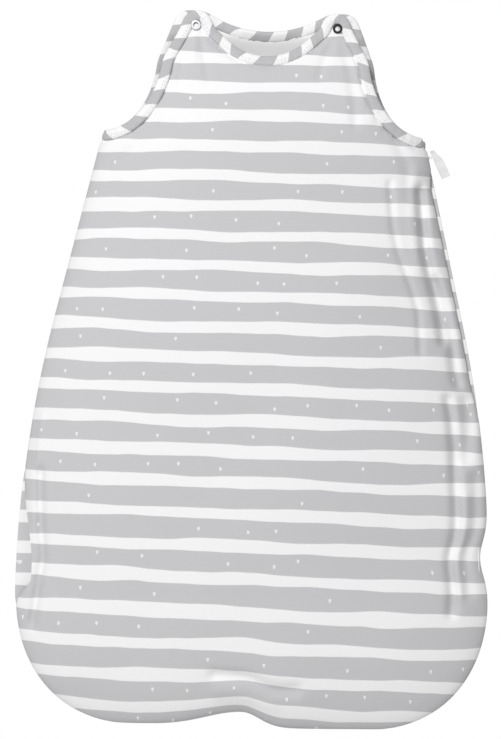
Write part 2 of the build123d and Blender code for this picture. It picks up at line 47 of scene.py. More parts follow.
# ---- the bag's form, as in the CAD part ----
ARMPIT_Z = 0.577
ARMPIT_HALF_WIDTH = 0.158
SIDE_FLARE = radians(13.2)
STRAIGHT_END_Z = 0.400
CORNER_TOP_Z = 0.130
BASE_HALF_WIDTH = 0.110
CORNER_POWER = 2.2
MAX_HALF_DEPTH = 0.041
CORNER_HALF_DEPTH = 0.034
BASE_HALF_DEPTH = 0.003
ARMPIT_HALF_DEPTH = 0.036
STRAP_HALF_DEPTH = 0.0064
STRAP_FLAT_Z = 0.676
SNAP_X = 0.069
SNAP_Z = 0.684
TAB_CUT_Z = 0.659          # the front's shoulder pieces are made apart from here up
TAB_TIP_RADIUS = 0.015
STRAP_MIDDLE_X = 0.060
CUT_POINTS = 24

# ---- neck and armhole edges: arcs of circles and ellipses ----
FRONT_NECK_RADIUS = 0.0555
FRONT_NECK_CENTRE_Z = 0.7095
FRONT_NECK_END_X = 0.039
BACK_NECK_RADIUS = 0.110
BACK_NECK_CENTRE_Z = 0.790
BACK_NECK_END_X = 0.056
BACK_STRAP_TOP = [(0.062, 0.6985), (0.080, 0.6995), (0.0885, 0.6955), (0.0925, 0.686)]
BACK_STRAP_MIDDLE_X = 0.074
ARMHOLE_CENTRE_Z = 0.662
ARMHOLE_HALF_WIDTH = 0.058
ARMHOLE_HALF_HEIGHT = 0.083
ARMHOLE_TOP_Z = 0.650
FRONT_ARMHOLE_CENTRE_X = 0.159
BACK_ARMHOLE_CENTRE_X = 0.165
ARMHOLE_END_X = 0.1576
ZIP_SIDE_ARMHOLE_END_X = 0.1555
EDGE_SPACING = 0.002
EDGE_SMOOTHING = 6

# ---- how the seams run ----
SEAM_WRAP = 0.0150         # the front's -X seam is drawn forward over these heights
SEAM_WRAP_HEIGHTS = (0.116, 0.142, 0.152, 0.250)
ZIP_LIP = 0.0042           # the front's lip of the zip lies back over these heights
ZIP_LIP_HEIGHTS = (0.300, 0.350, 0.530, 0.552)
PINCH = 0.008              # the zip side is pinched in at this height
PINCH_Z = 0.172
PINCH_SPREAD = 0.024
BOTTOM_LIFT = 0.0150       # the bottom seam is drawn up about this place
BOTTOM_LIFT_X = -0.007
BOTTOM_LIFT_FADE = 0.045

# ---- cloth ----
QUILT = 5.4 * MM
QUILT_AT_EDGE = 3.6 * MM
LIP_GAP = 0.6 * MM
EDGE_INSET = 2.5 * MM      # the quilt stops this far inside a binding's free edge
THINNEST = 0.6 * MM        # least depth of a quilt, and of the room left inside the bag
SEAM_IN = 10.6 * MM        # the groove where a binding is sewn down, from the free edge
SEAM_GROOVE = 2.3 * MM     # its depth
SEAM_GROOVE_SPREAD = 1.9 * MM
SEAM_GROOVE_POINTS = 2.1 * MM  # extra mesh points lie this far to each side of it
EDGE_SINK = 1.0 * MM       # how far the outer cloth sinks towards a binding
SIDE_SINK = 1.3 * MM       # towards a side seam
BOTTOM_SINK = 0.9 * MM     # and towards the bottom seam
BACK_WRAP_ANGLE = 1.2      # the back's thin strip beside the -X seam starts here, in radians
LINING_FOLD = 1.25         # valleys go deeper on the lining, so that it stays below the outer cloth
ANGLE_SCALE = 0.2          # metres of flat pattern for each radian round the bag
COLUMN = 0.0034            # spacing of the mesh points
ROW = 0.0040
EVEN_ROWS_Z = 0.030        # rows are evenly spaced from here up, and closer together below
BOTTOM_ROWS = np.array([0.0004, 0.0012, 0.0024, 0.0041, 0.0063, 0.0090, 0.0122, 0.0160, 0.0203, 0.0250])
BOTTOM_POINTS = 90
CLOSEST_POINTS = 0.0014
SHARP_ANGLE = radians(50)
BACK_PHASE = 2.1           # sets the back's waves apart from the front's
PUCKER_HEIGHT = 0.35 * MM  # small gathers beside the armhole bindings
PUCKER_IN = 0.011
PUCKER_CENTRE = (0.159, 0.660)

# ---- bindings and their stitches ----
BINDING_HALF_WIDTH = 5.3 * MM
BINDING_HALF_THICKNESS = 2.9 * MM
BINDING_SPINE = 0.94       # its middle lies this many half widths inside the free edge
BINDING_ROUNDNESS = 0.62
BINDING_AROUND = 18
STITCH_ROWS = (6.4 * MM, 8.3 * MM)
STITCH_LENGTH = 2.4 * MM
STITCH_PITCH = 3.4 * MM
THREAD_RADIUS = 0.22 * MM
THREAD_LIFT = np.array([-1.2, 0.5, 0.5, -1.2])
FRONT_SEED = 0.3           # where the blocks of grey and white start
BACK_SEED = 0.7

# ---- print ----
STRIPE_PITCH = 0.0304
GREY_HALF_SHARE = 0.306    # of the pitch, on each side of a grey stripe's middle
WAVINESS = 0.36            # range of an edge's wander, as a share of the pitch
STRIPE_EDGE = 45.0         # sharpness of the edge between grey and white
TOP_STRIPE_Z = 0.6417
STRIPE_SLOPE = 0.0087      # rise of the stripes towards +X near the top, and its change with height
STRIPE_SLOPE_CHANGE = 0.0277 / 0.6
STRIPE_SLOPE_Z = 0.64
BACK_STRIPE_SHIFT = 0.011
# the stripes aren't quite evenly spaced: the shift of the pattern's height, by height
DRIFT_HEIGHTS = (0.03, 0.07, 0.10, 0.132, 0.165, 0.25, 0.30, 0.35,
                 0.40, 0.45, 0.50, 0.55, 0.60, 0.645, 0.662)
DRIFT = (0.0, -0.0018, -0.003, -0.006, -0.0087, -0.0087, -0.0082, -0.0073,
         -0.0066, -0.005, -0.0025, 0.0, 0.0030, 0.0045, 0.0070)
BLOCK_PITCH = 0.033        # the bindings' blocks
BLOCK_HALF_SHARE = 0.27
BLOCK_EDGE = 55.0
HEART_SHARE = 0.50         # of the cells have a heart
HEART_CELL_WIDTH = 0.043
HEART_HALF_WIDTH = 0.0012
HEART_HALF_HEIGHT = 0.0018

# ---- zip ----
TAPE_DEPTH = 0.0104        # distances inside the seam
GUARD_DEPTH = 0.0150
TAPE_NEAR = 0.0034         # distances from the middle plane
TAPE_FAR = 0.0072
GUARD_FRONT = -0.0076      # distances behind the middle plane
GUARD_BACK = 0.0079
TAPE_THICKNESS = 0.0008
GUARD_THICKNESS = 0.0009
ZIP_TOP_Z = 0.572
ZIP_END_Z = 0.062
ZIP_STEP = 0.004
ZIP_SPACING = 0.003

# ---- ribbon on the zip pull ----
RIBBON_WIDTH = 0.009
RIBBON_LENGTH = 0.0295
RIBBON_LEAN = SIDE_FLARE + radians(11.0)
RIBBON_ROWS = 22
RIBBON_COLUMNS = 7

# ---- studio ----
FLOOR_Z = -0.25
FLOOR_SIZE = 3.2
KEY_AT = (-0.9, -3.0, 2.2)
KEY_AIM = Vector((0, 0, 0.34))
KEY_SIZE = 0.8
KEY_POWER = 94
SKY_STRENGTH = 0.29        # as light on the bag; the background itself is seen as white
VIEW_CENTRE = Vector((-0.0071, 0, 0.350))
VIEW_WIDTH = 0.489
VIEW_DISTANCE = 2.6
VIEW_ROLL = radians(1.5)
SENSOR_WIDTH = 36

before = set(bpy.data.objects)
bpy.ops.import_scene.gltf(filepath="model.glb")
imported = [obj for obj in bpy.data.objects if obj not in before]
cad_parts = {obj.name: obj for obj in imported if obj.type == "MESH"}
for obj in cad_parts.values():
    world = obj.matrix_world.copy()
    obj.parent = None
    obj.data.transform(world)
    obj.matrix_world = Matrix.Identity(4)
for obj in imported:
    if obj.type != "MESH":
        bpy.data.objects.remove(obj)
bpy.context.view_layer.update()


def half_width(z):
    down = np.clip(STRAIGHT_END_Z - z, 0, STRAIGHT_END_Z - CORNER_TOP_Z)
    straight = ARMPIT_HALF_WIDTH + (ARMPIT_Z - np.clip(z, STRAIGHT_END_Z, ARMPIT_Z)) * tan(SIDE_FLARE)
    widest = straight + tan(SIDE_FLARE) * (down - down**2 / (2 * (STRAIGHT_END_Z - CORNER_TOP_Z)))
    drop = np.clip((CORNER_TOP_Z - z) / CORNER_TOP_Z, 0, 1)
    corner = (1 - drop**CORNER_POWER) ** (1 / CORNER_POWER)
    return BASE_HALF_WIDTH + (widest - BASE_HALF_WIDTH) * corner


def half_depth(z):
    drop = np.clip((CORNER_TOP_Z - z) / CORNER_TOP_Z, 0, 1)
    low = BASE_HALF_DEPTH + (CORNER_HALF_DEPTH - BASE_HALF_DEPTH) * np.sqrt(1 - drop**2)
    rise = np.clip((z - CORNER_TOP_Z) / (STRAIGHT_END_Z - CORNER_TOP_Z), 0, 1)
    middle = (MAX_HALF_DEPTH - CORNER_HALF_DEPTH) * np.sin(rise * pi / 2)
    up = np.clip((z - STRAIGHT_END_Z) / (ARMPIT_Z - STRAIGHT_END_Z), 0, 1)
    chest = (MAX_HALF_DEPTH - ARMPIT_HALF_DEPTH) * up**2
    top = np.clip((z - ARMPIT_Z) / (STRAP_FLAT_Z - ARMPIT_Z), 0, 1)
    return low + middle - chest - (ARMPIT_HALF_DEPTH - STRAP_HALF_DEPTH) * top**1.5


def bell(distance, spread):
    return np.exp(-((distance / spread) ** 2))


def step(value, low, high):
    share = np.clip((value - low) / (high - low), 0, 1)
    return share * share * (3 - 2 * share)


def between(value, rise_from, rise_to, fall_from, fall_to):
    """1 over a range, easing to 0 at both ends."""
    return step(value, rise_from, rise_to) * (1 - step(value, fall_from, fall_to))


def line_distance(x, z, line):
    """Distance of each point from a line of points."""
    line = np.array(line, float)
    best = np.full(np.shape(x), 1e9)
    for (ax, az), (bx, bz) in zip(line[:-1], line[1:]):
        dx, dz = bx - ax, bz - az
        share = np.clip(((x - ax) * dx + (z - az) * dz) / (dx * dx + dz * dz + 1e-15), 0, 1)
        best = np.minimum(best, np.hypot(x - ax - share * dx, z - az - share * dz))
    return best


def resample(points, spacing):
    points = np.array(points, float)
    steps = np.sqrt((np.diff(points, axis=0) ** 2).sum(1))
    total = np.concatenate([[0], np.cumsum(steps)])
    count = max(int(round(total[-1] / spacing)), 2)
    at = np.linspace(0, total[-1], count + 1)
    return np.column_stack([np.interp(at, total, points[:, i]) for i in range(points.shape[1])])


def rounded(points, spacing, passes):
    line = resample(points, spacing)
    for _ in range(passes):
        line[1:-1] = (line[:-2] + 2 * line[1:-1] + line[2:]) / 4
    return line


# ---- free edges of the neck and armholes, from the middle of the neck, as on the +X side ----

def neck_arc(radius, centre_z, end_x):
    turns = np.linspace(0, asin(end_x / radius), 24)
    return [(radius * sin(a), centre_z - radius * cos(a)) for a in turns]


def armhole_arc(centre_x, end_x):
    first = asin((ARMHOLE_CENTRE_Z - ARMHOLE_TOP_Z) / ARMHOLE_HALF_HEIGHT)
    last = acos((centre_x - end_x) / ARMHOLE_HALF_WIDTH)
    return [(centre_x - ARMHOLE_HALF_WIDTH * cos(a), ARMHOLE_CENTRE_Z - ARMHOLE_HALF_HEIGHT * sin(a))
            for a in np.linspace(first, last, 40)]


def front_edge(end_x):
    line = neck_arc(FRONT_NECK_RADIUS, FRONT_NECK_CENTRE_Z, FRONT_NECK_END_X)
    line += [(SNAP_X - TAB_TIP_RADIUS * cos(a), SNAP_Z + TAB_TIP_RADIUS * sin(a))
             for a in np.linspace(0, pi, 24)]
    line += armhole_arc(FRONT_ARMHOLE_CENTRE_X, end_x)
    return rounded(line, EDGE_SPACING, EDGE_SMOOTHING)


def back_edge():
    line = neck_arc(BACK_NECK_RADIUS, BACK_NECK_CENTRE_Z, BACK_NECK_END_X) + BACK_STRAP_TOP
    line += armhole_arc(BACK_ARMHOLE_CENTRE_X, ARMHOLE_END_X)
    return rounded(line, EDGE_SPACING, EDGE_SMOOTHING)


def mirrored(line):
    return line * np.array([-1, 1])


def inwards(line, distance):
    """An edge, as on the +X side, moved into the cloth."""
    along = np.gradient(line, axis=0)
    along /= np.sqrt((along**2).sum(1))[:, None]
    return line + distance * np.column_stack([along[:, 1], -along[:, 0]])


def on_side(edge, side):
    return edge if side > 0 else mirrored(edge)


EDGES = {
    (FRONT, 1): front_edge(ZIP_SIDE_ARMHOLE_END_X),
    (FRONT, -1): front_edge(ARMHOLE_END_X),
    (BACK, 1): back_edge(),
    (BACK, -1): back_edge(),
}


def edge_distance(face, x, z):
    both = [line_distance(x, z, EDGES[face, 1]), line_distance(x, z, mirrored(EDGES[face, -1]))]
    return np.minimum(*both)


# ---- folds pressed into the cloth: a line of points (x, z), its height and its spread ----
FRONT_FOLDS = [
    ([(0.157, 0.527), (0.163, 0.470), (0.169, 0.444), (0.177, 0.414), (0.183, 0.383)],
     -8.0 * MM, 0.0052),
    ([(0.174, 0.440), (0.184, 0.414), (0.191, 0.385), (0.195, 0.354), (0.198, 0.342)],
     -5.2 * MM, 0.0055),
    ([(0.126, 0.533), (0.130, 0.491), (0.136, 0.466), (0.147, 0.440), (0.157, 0.411), (0.160, 0.371)],
     -2.4 * MM, 0.0036),
    ([(0.148, 0.545), (0.150, 0.500), (0.156, 0.450)], 1.6 * MM, 0.007),
    ([(0.205, 0.322), (0.205, 0.300), (0.203, 0.270)], -5.0 * MM, 0.009),
    ([(0.187, 0.325), (0.192, 0.279), (0.196, 0.220), (0.199, 0.187), (0.194, 0.120)],
     -6.0 * MM, 0.0052),
    ([(0.214, 0.250), (0.216, 0.200), (0.211, 0.140)], -2.8 * MM, 0.007),
    ([(0.205, 0.230), (0.207, 0.190), (0.202, 0.135)], 1.8 * MM, 0.005),
    ([(-0.209, 0.245), (-0.208, 0.210), (-0.204, 0.162), (-0.207, 0.142), (-0.213, 0.099)],
     -4.8 * MM, 0.0045),
    ([(-0.208, 0.300), (-0.212, 0.250), (-0.211, 0.200)], 1.4 * MM, 0.004),
    ([(-0.034, 0.050), (0.001, 0.046), (0.024, 0.040), (0.045, 0.041)], -5.0 * MM, 0.006),
    ([(-0.030, 0.030), (-0.005, 0.027), (0.020, 0.024)], 2.0 * MM, 0.008),
    ([(-0.072, 0.677), (-0.080, 0.655), (-0.084, 0.625)], -1.9 * MM, 0.004),
    ([(-0.066, 0.677), (-0.060, 0.655), (-0.056, 0.630)], -1.7 * MM, 0.004),
    ([(-0.069, 0.676), (-0.071, 0.650)], 1.2 * MM, 0.004),
    ([(0.066, 0.677), (0.058, 0.655), (0.052, 0.636)], -1.7 * MM, 0.004),
    ([(0.072, 0.677), (0.080, 0.650), (0.086, 0.615), (0.088, 0.590)], -1.8 * MM, 0.005),
    ([(-0.092, 0.655), (-0.096, 0.620), (-0.098, 0.580)], -1.4 * MM, 0.007),
    ([(-0.112, 0.590), (-0.125, 0.560), (-0.148, 0.540)], -1.6 * MM, 0.006),
    ([(0.112, 0.590), (0.130, 0.572), (0.142, 0.545), (0.146, 0.520)], -1.8 * MM, 0.006),
]
BACK_FOLDS = [
    ([(-0.160, 0.540), (-0.176, 0.440), (-0.190, 0.380)], -2.4 * MM, 0.008),
    ([(0.158, 0.540), (0.172, 0.450), (0.192, 0.370)], -2.2 * MM, 0.008),
    ([(0.195, 0.320), (0.206, 0.230), (0.196, 0.140)], 2.2 * MM, 0.009),
    ([(-0.200, 0.300), (-0.205, 0.220), (-0.190, 0.130)], -2.4 * MM, 0.008),
    ([(-0.060, 0.560), (-0.020, 0.530), (0.050, 0.540)], -1.2 * MM, 0.012),
]


def relief(face, x, z):
    """Height of the cloth's soft waves and folds above the bag's form."""
    phase = 0.0 if face == FRONT else BACK_PHASE
    waves = 0.9 * np.sin(30 * x + 9 * z + 1.3 + phase) * np.sin(19 * z + 0.4)
    waves += 0.6 * np.sin(15 * x - 33 * z + 2 + phase) * np.cos(11 * x + phase)
    waves += 0.3 * np.sin(52 * x + 13 * z + phase) * np.sin(41 * z - 8 * x)
    height = waves * MM * between(z, 0.0, 0.06, 0.60, 0.67)
    for line, rise, spread in FRONT_FOLDS if face == FRONT else BACK_FOLDS:
        height += rise * bell(line_distance(x, z, line), spread)
    far = edge_distance(face, x, z)
    along = np.arctan2(z - PUCKER_CENTRE[1], np.abs(x) - PUCKER_CENTRE[0])
    puckers = np.sin(along * 34 + 1.5 * np.sin(along * 9)) * bell(far - PUCKER_IN, 0.007)
    return height + PUCKER_HEIGHT * puckers


def seam_setback(z):
    """How far the front's -X seam lies inside the bag's outline."""
    return SEAM_WRAP * between(z, *SEAM_WRAP_HEIGHTS)


def zip_setback(z):
    """How far the front's lip of the zip lies inside the bag's outline."""
    return ZIP_LIP * between(z, *ZIP_LIP_HEIGHTS)


def seam_angle(z):
    """Angle of the -X seam from the middle of the front."""
    return np.arcsin(1 - seam_setback(z) / half_width(z))


def bottom_lift(x):
    """The bottom seam is drawn up a little near the middle."""
    spread = np.where(x < BOTTOM_LIFT_X, 0.050, 0.024)
    return BOTTOM_LIFT * bell(x - BOTTOM_LIFT_X, spread)


def place(face, angle, z, inset, rise=0.0):
    """Points of a face's surface, moved into the bag by an inset and raised off the middle plane."""
    right = np.clip(np.sin(angle) * 4, 0, 1)
    pinch = right * PINCH * bell(z - PINCH_Z, PINCH_SPREAD)
    if face == FRONT:
        pinch = pinch + zip_setback(z) * right
    x = (half_width(z) - pinch - inset) * np.sin(angle)
    y = face * ((half_depth(z) - inset) * np.cos(angle) + LIP_GAP * right + rise)
    lifted = lifted_z(x, z) + np.minimum(inset, 0.004) * bell(z, 0.02)
    return np.column_stack([x, y, lifted])


def seam_distance(face, angle, z):
    """Distance of each point from the side seams, about the bag."""
    if face == FRONT:
        left = angle + seam_angle(z)
    else:
        left = angle + pi - seam_angle(z)
    return np.minimum(np.abs(left), np.abs(pi / 2 - angle)) * half_depth(z)


def depths(face, angle, z):
    """Insets of the outer and the inner surface of a quilted panel."""
    x = half_width(z) * np.sin(angle)
    far = edge_distance(face, x, z)
    seam = seam_distance(face, angle, z)
    outer = EDGE_SINK * bell(far, 0.009)
    below = 1 - step(z, ARMPIT_Z - 0.012, ARMPIT_Z)
    outer = outer + below * SIDE_SINK * bell(seam, 0.0024) + BOTTOM_SINK * bell(z, 0.002)
    thickness = QUILT - (QUILT - QUILT_AT_EDGE) * bell(far, 0.010)
    left_seam = below * ((angle < 0) if face == FRONT else (np.abs(angle) > BACK_WRAP_ANGLE))
    thickness = thickness - left_seam * 2.0 * MM * bell(seam, 0.006)
    inner = np.minimum(outer + thickness, half_depth(z) - THINNEST)
    inner = np.maximum(inner, outer + THINNEST)
    groove = SEAM_GROOVE * bell(far - SEAM_IN, SEAM_GROOVE_SPREAD)
    return outer + np.minimum(groove, 0.6 * (inner - outer)), inner


def fold_rise(face, angle, z, inset, inner):
    """How far folds lift a surface off the middle plane, kept from reaching the other face."""
    room = 0.9 * np.maximum(half_depth(z) - inner, 0) * np.cos(angle)
    height = relief(face, (half_width(z) - inset) * np.sin(angle), z)
    height = np.where((inset >= inner) & (height < 0), LINING_FOLD * height, height)
    return np.maximum(height * step(np.cos(angle), 0.0, 0.35), -room)


def angle_of(x, z):
    return np.arcsin(np.clip(x / half_width(z), -1, 1))


# ---- meshes ----

def outline_of(face):
    """Flat outline of a panel as (angle, height), going round once."""
    right, left = (without_strap(side) if face == FRONT else inwards(EDGES[face, side], EDGE_INSET)
                   for side in (1, -1))
    side_z = np.concatenate([np.arange(ARMPIT_Z - 0.001, EVEN_ROWS_Z, -ROW), BOTTOM_ROWS[::-1]])
    rest = [(pi / 2, z) for z in side_z]
    start = seam_angle(side_z) if face == FRONT else pi - seam_angle(side_z)
    bottom = np.linspace(pi / 2, -pi / 2, BOTTOM_POINTS)[1:-1]
    rest += [(a, 0.0) for a in bottom]
    rest += list(zip(-start[::-1], side_z[::-1]))
    top = [(angle_of(x, z), z) for x, z in right]
    far = [(angle_of(x, z), z) for x, z in mirrored(left)[::-1]]
    return np.array(top + rest + far[:-1])


def cut_line(side):
    """Points across a front strap where its shoulder piece starts, from the neck outwards."""
    edge = inwards(EDGES[FRONT, side], EDGE_INSET)
    near = min(edge[edge[:, 0] < STRAP_MIDDLE_X], key=lambda p: abs(p[1] - TAB_CUT_Z))
    far = min(edge[edge[:, 0] > STRAP_MIDDLE_X], key=lambda p: abs(p[1] - TAB_CUT_Z))
    return np.column_stack([np.linspace(near[0], far[0], CUT_POINTS), np.full(CUT_POINTS, TAB_CUT_Z)])


def without_strap(side):
    """A front edge with its strap cut off, as on the +X side."""
    edge = inwards(EDGES[FRONT, side], EDGE_INSET)
    below = edge[edge[:, 1] < TAB_CUT_Z]
    at_neck = below[:, 0] < STRAP_MIDDLE_X
    return np.vstack([below[at_neck], cut_line(side), below[~at_neck]])


def inside(points, outline):
    """Which points lie inside a closed outline."""
    hits = np.zeros(len(points), bool)
    ahead = np.roll(outline, -1, axis=0)
    for (ax, az), (bx, bz) in zip(outline, ahead):
        spans = (points[:, 1] > az) != (points[:, 1] > bz)
        if spans.any():
            cross = ax + (points[:, 1] - az) * (bx - ax) / (bz - az + 1e-18)
            hits ^= spans & (points[:, 0] < cross)
    return hits


def seam_points(face):
    """Flat points along the grooves beside the bindings, where the mesh needs more detail."""
    lines = []
    for side in (1, -1):
        for distance in (SEAM_IN - SEAM_GROOVE_POINTS, SEAM_IN, SEAM_IN + SEAM_GROOVE_POINTS):
            line = on_side(inwards(EDGES[face, side], distance), side)
            lines.append(np.column_stack([angle_of(*line.T) * ANGLE_SCALE, line[:, 1]]))
    return np.vstack(lines)


def fill(outline, extra):
    """Triangles that fill a flat outline with evenly spaced points and some extra ones inside."""
    low, high = outline.min(0), outline.max(0)
    rows = np.concatenate([BOTTOM_ROWS, np.arange(EVEN_ROWS_Z, high[1], ROW)])
    rows = rows[rows > low[1]]
    columns = np.arange(low[0], high[0], COLUMN)
    grid = np.array([(c + (i % 2) * COLUMN / 2, r) for i, r in enumerate(rows) for c in columns])
    grid = np.vstack([grid, extra])
    grid = grid[inside(grid, outline)]
    closed = np.vstack([outline, outline[:1]])
    grid = grid[line_distance(grid[:, 0], grid[:, 1], closed) > CLOSEST_POINTS]
    points = [Vector(p) for p in np.vstack([outline, grid])]
    count = len(outline)
    loop = [(i, (i + 1) % count) for i in range(count)]
    made = delaunay_2d_cdt(points, loop, [], 1, 1e-6)
    return np.array([tuple(p) for p in made[0]]), np.array([tuple(f) for f in made[2]])


def new_object(name, points, faces, materials, face_material=None, cloth=None):
    mesh = bpy.data.meshes.new(name)
    mesh.from_pydata([tuple(p) for p in points], [], [tuple(f) for f in faces])
    for material in materials:
        mesh.materials.append(material)
    if face_material is not None:
        mesh.polygons.foreach_set("material_index", np.array(face_material, np.int32))
    if cloth is not None:
        attribute = mesh.attributes.new("cloth", "FLOAT_VECTOR", "POINT")
        attribute.data.foreach_set("vector", np.asarray(cloth, np.float32).ravel())
    mesh.polygons.foreach_set("use_smooth", np.ones(len(mesh.polygons), bool))
    mesh.set_sharp_from_angle(angle=SHARP_ANGLE)
    mesh.update()
    made = bpy.data.objects.new(name, mesh)
    bpy.context.scene.collection.objects.link(made)
    return made


def cloth_at(face, angle, z):
    """Flat pattern coordinates: across, stripe height and which panel."""
    across = half_width(z) * np.sin(angle)
    across = across + np.sign(angle) * 0.5 * half_depth(z) * (1 - np.cos(angle))
    slope = STRIPE_SLOPE - STRIPE_SLOPE_CHANGE * (STRIPE_SLOPE_Z - z)
    shift = np.interp(z, DRIFT_HEIGHTS, DRIFT) + (0 if face == FRONT else BACK_STRIPE_SHIFT)
    return np.column_stack([across, z - across * slope + shift, np.full(len(z), 0.5 * (face + 1))])


def lifted_z(x, z):
    """Heights with the bottom seam drawn up."""
    return z + bottom_lift(x) * np.exp(-z / BOTTOM_LIFT_FADE)


def quilt(name, face, outline):
    """A closed padded panel: striped outside, plain lining inside."""
    flat = outline * np.array([ANGLE_SCALE, 1])
    points, triangles = fill(flat, seam_points(face))
    angle, z = points[:, 0] / ANGLE_SCALE, points[:, 1]
    outer_inset, inner_inset = depths(face, angle, z)
    outer = place(face, angle, z, outer_inset, fold_rise(face, angle, z, outer_inset, inner_inset))
    inner = place(face, angle, z, inner_inset, fold_rise(face, angle, z, inner_inset, inner_inset))
    count = len(points)
    edges = {(a, b) for tri in triangles.tolist() for a, b in zip(tri, tri[1:] + tri[:1])}
    rim = [(b, a, a + count, b + count) for a, b in sorted(edges) if (b, a) not in edges]
    faces = triangles.tolist() + (triangles[:, ::-1] + count).tolist() + rim
    if face == BACK:
        faces = [f[::-1] for f in faces]
    kinds = [0] * len(triangles) + [1] * len(triangles) + [0] * len(rim)
    cloth = cloth_at(face, angle, z)
    made = new_object(name, np.vstack([outer, inner]), faces, [STRIPED, LINING], kinds,
                      np.vstack([cloth, cloth]))
    return made


def surface_point(face, x, z, inset):
    angle = angle_of(np.asarray(x, float), np.asarray(z, float))
    return place(face, angle, np.asarray(z, float), inset)


def tube(rings):
    """Faces that join rings of points, with capped ends."""
    count, around = rings.shape[:2]
    faces = []
    for i in range(count - 1):
        for j in range(around):
            k = (j + 1) % around
            faces.append((i * around + j, i * around + k, (i + 1) * around + k, (i + 1) * around + j))
    faces.append(tuple(range(around - 1, -1, -1)))
    faces.append(tuple((count - 1) * around + j for j in range(around)))
    return faces


def binding(name, face, side, edge, first, seed):
    """A folded strip round a free edge, with two rows of stitches on its outside.

    The edge is given as on the +X side, and side mirrors it; first is the length along the whole
    edge at which this piece starts, so that the blocks of the print run on from piece to piece.
    """
    inner_line = on_side(inwards(edge, BINDING_HALF_WIDTH * BINDING_SPINE), side)
    deep_line = on_side(inwards(edge, BINDING_HALF_WIDTH * 1.9), side)
    mid_inset = EDGE_SINK + QUILT_AT_EDGE / 2
    spine = surface_point(face, inner_line[:, 0], inner_line[:, 1], mid_inset)
    deep = surface_point(face, deep_line[:, 0], deep_line[:, 1], mid_inset)
    along = np.gradient(spine, axis=0)
    along /= np.linalg.norm(along, axis=1)[:, None]
    into = deep - spine
    into -= along * (into * along).sum(1)[:, None]
    into /= np.linalg.norm(into, axis=1)[:, None]
    out = np.cross(into, along)
    out *= np.where((out[:, 1] * face)[:, None] > 0, 1, -1)
    steps = np.linalg.norm(np.diff(spine, axis=0), axis=1)
    length = first + np.concatenate([[0], np.cumsum(steps)])
    gather = 1 + 0.10 * np.sin(length * 980 + 2 * np.sin(length * 410)) + 0.05 * np.sin(length * 1700)
    turns = np.linspace(0, 2 * pi, BINDING_AROUND, endpoint=False)
    across = np.sign(np.cos(turns)) * np.abs(np.cos(turns)) ** BINDING_ROUNDNESS * BINDING_HALF_WIDTH
    thick = np.sign(np.sin(turns)) * np.abs(np.sin(turns)) ** BINDING_ROUNDNESS * BINDING_HALF_THICKNESS
    rings = (spine[:, None, :] + into[:, None, :] * across[None, :, None]
             + out[:, None, :] * thick[None, :, None] * gather[:, None, None])
    faces = tube(rings)
    cloth = np.stack(np.broadcast_arrays(length[:, None], across[None, :] + seed, seed), axis=2)
    points, kinds = [rings.reshape(-1, 3)], [0] * len(faces)
    marks = [cloth.reshape(-1, 3)]
    offset = rings.shape[0] * BINDING_AROUND
    for row in STITCH_ROWS:
        from_middle = abs(row / BINDING_HALF_WIDTH - BINDING_SPINE)
        lift = 1.02 * BINDING_HALF_THICKNESS * (1 - from_middle**2.6) ** 0.385
        path = spine + into * (row - BINDING_SPINE * BINDING_HALF_WIDTH)
        path += out * (lift * gather)[:, None]
        start = length[0] + 2 * MM
        while start + STITCH_LENGTH < length[-1] - MM:
            at = np.linspace(start, start + STITCH_LENGTH, 4)
            centre = np.column_stack([np.interp(at, length, path[:, i]) for i in range(3)])
            normal = np.column_stack([np.interp(at, length, out[:, i]) for i in range(3)])
            centre += normal * (THREAD_LIFT * THREAD_RADIUS)[:, None]
            stitch = thread(centre, normal)
            points.append(stitch.reshape(-1, 3))
            marks.append(np.zeros((len(points[-1]), 3)))
            made = [tuple(offset + i for i in f) for f in tube(stitch)]
            faces += made
            kinds += [1] * len(made)
            offset += len(points[-1])
            start += STITCH_PITCH
    band = new_object(name, np.vstack(points), faces, [BINDING, THREAD], kinds, np.vstack(marks))
    if side * face > 0:
        band.data.flip_normals()
    return band


def thread(centre, normal):
    """Rings of a short round thread along a line of points."""
    along = np.gradient(centre, axis=0)
    along /= np.linalg.norm(along, axis=1)[:, None]
    side = np.cross(along, normal)
    side /= np.linalg.norm(side, axis=1)[:, None]
    turns = np.linspace(0, 2 * pi, 6, endpoint=False)
    return (centre[:, None, :] + THREAD_RADIUS * (np.cos(turns)[None, :, None] * side[:, None, :]
            + np.sin(turns)[None, :, None] * normal[:, None, :]))


# ---- materials ----

